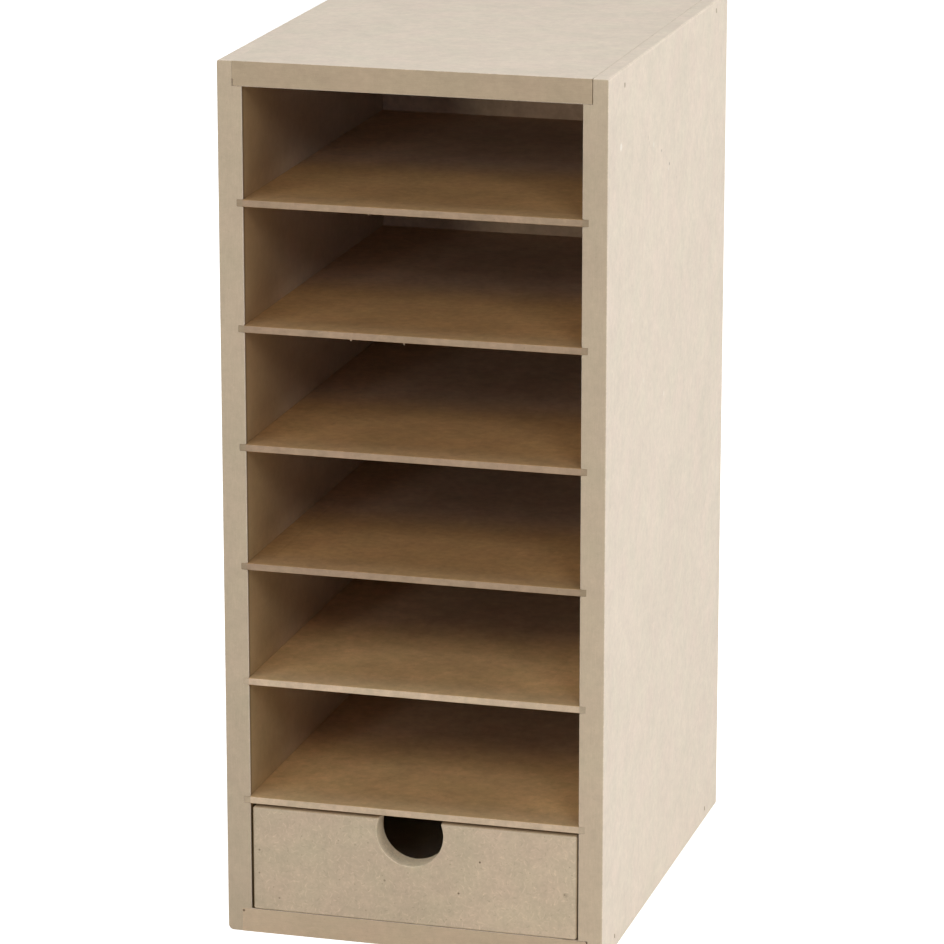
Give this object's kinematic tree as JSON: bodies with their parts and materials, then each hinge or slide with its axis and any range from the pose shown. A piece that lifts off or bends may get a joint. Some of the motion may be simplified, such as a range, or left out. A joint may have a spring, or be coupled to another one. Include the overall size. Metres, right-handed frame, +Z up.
{
  "type": "paper storage drawer unit",
  "caption": "Tall narrow raw fibreboard unit: open shelves for A4 paper stacked above a small push-in drawer with a round finger hole in its top edge.",
  "frame": {"origin": "centre of the footprint, on the surface that the unit stands on", "axes": "+Z up, along the height; the open front faces -Y; +X to the right of someone who faces the front"},
  "size_m": [0.25, 0.328, 0.572],
  "materials": {
    "carcass_fibreboard": "raw sanded MDF, 16 mm, unfinished",
    "thin_fibreboard": "raw thin MDF, 4.5 mm, unfinished, a little browner",
    "drawer_fibreboard": "raw sanded MDF with visible fibres, unfinished",
    "brad_steel": "galvanised brad wire, dull"
  },
  "bodies": {
    "carcass": {"left_side_panel": "carcass_fibreboard", "right_side_panel": "carcass_fibreboard", "top_panel": "carcass_fibreboard", "bottom_panel": "carcass_fibreboard", "back_panel": "thin_fibreboard", "shelf_1": "thin_fibreboard", "shelf_2": "thin_fibreboard", "shelf_3": "thin_fibreboard", "shelf_4": "thin_fibreboard", "shelf_5": "thin_fibreboard", "shelf_6": "thin_fibreboard", "left_top_brads": "brad_steel", "right_top_brads": "brad_steel", "left_foot_brads": "brad_steel", "right_foot_brads": "brad_steel"},
    "drawer": {"drawer_front": "drawer_fibreboard", "drawer_left_side": "drawer_fibreboard", "drawer_right_side": "drawer_fibreboard", "drawer_back": "drawer_fibreboard", "drawer_bottom": "thin_fibreboard", "drawer_front_brads": "brad_steel", "drawer_back_brads": "brad_steel", "drawer_bottom_brads": "brad_steel"}
  },
  "joints": [
    {"name": "drawer_slide", "type": "slide", "parent": "carcass", "child": "drawer", "axis": [0, -1, 0], "range_m": [0, 0.25]}
  ]
}
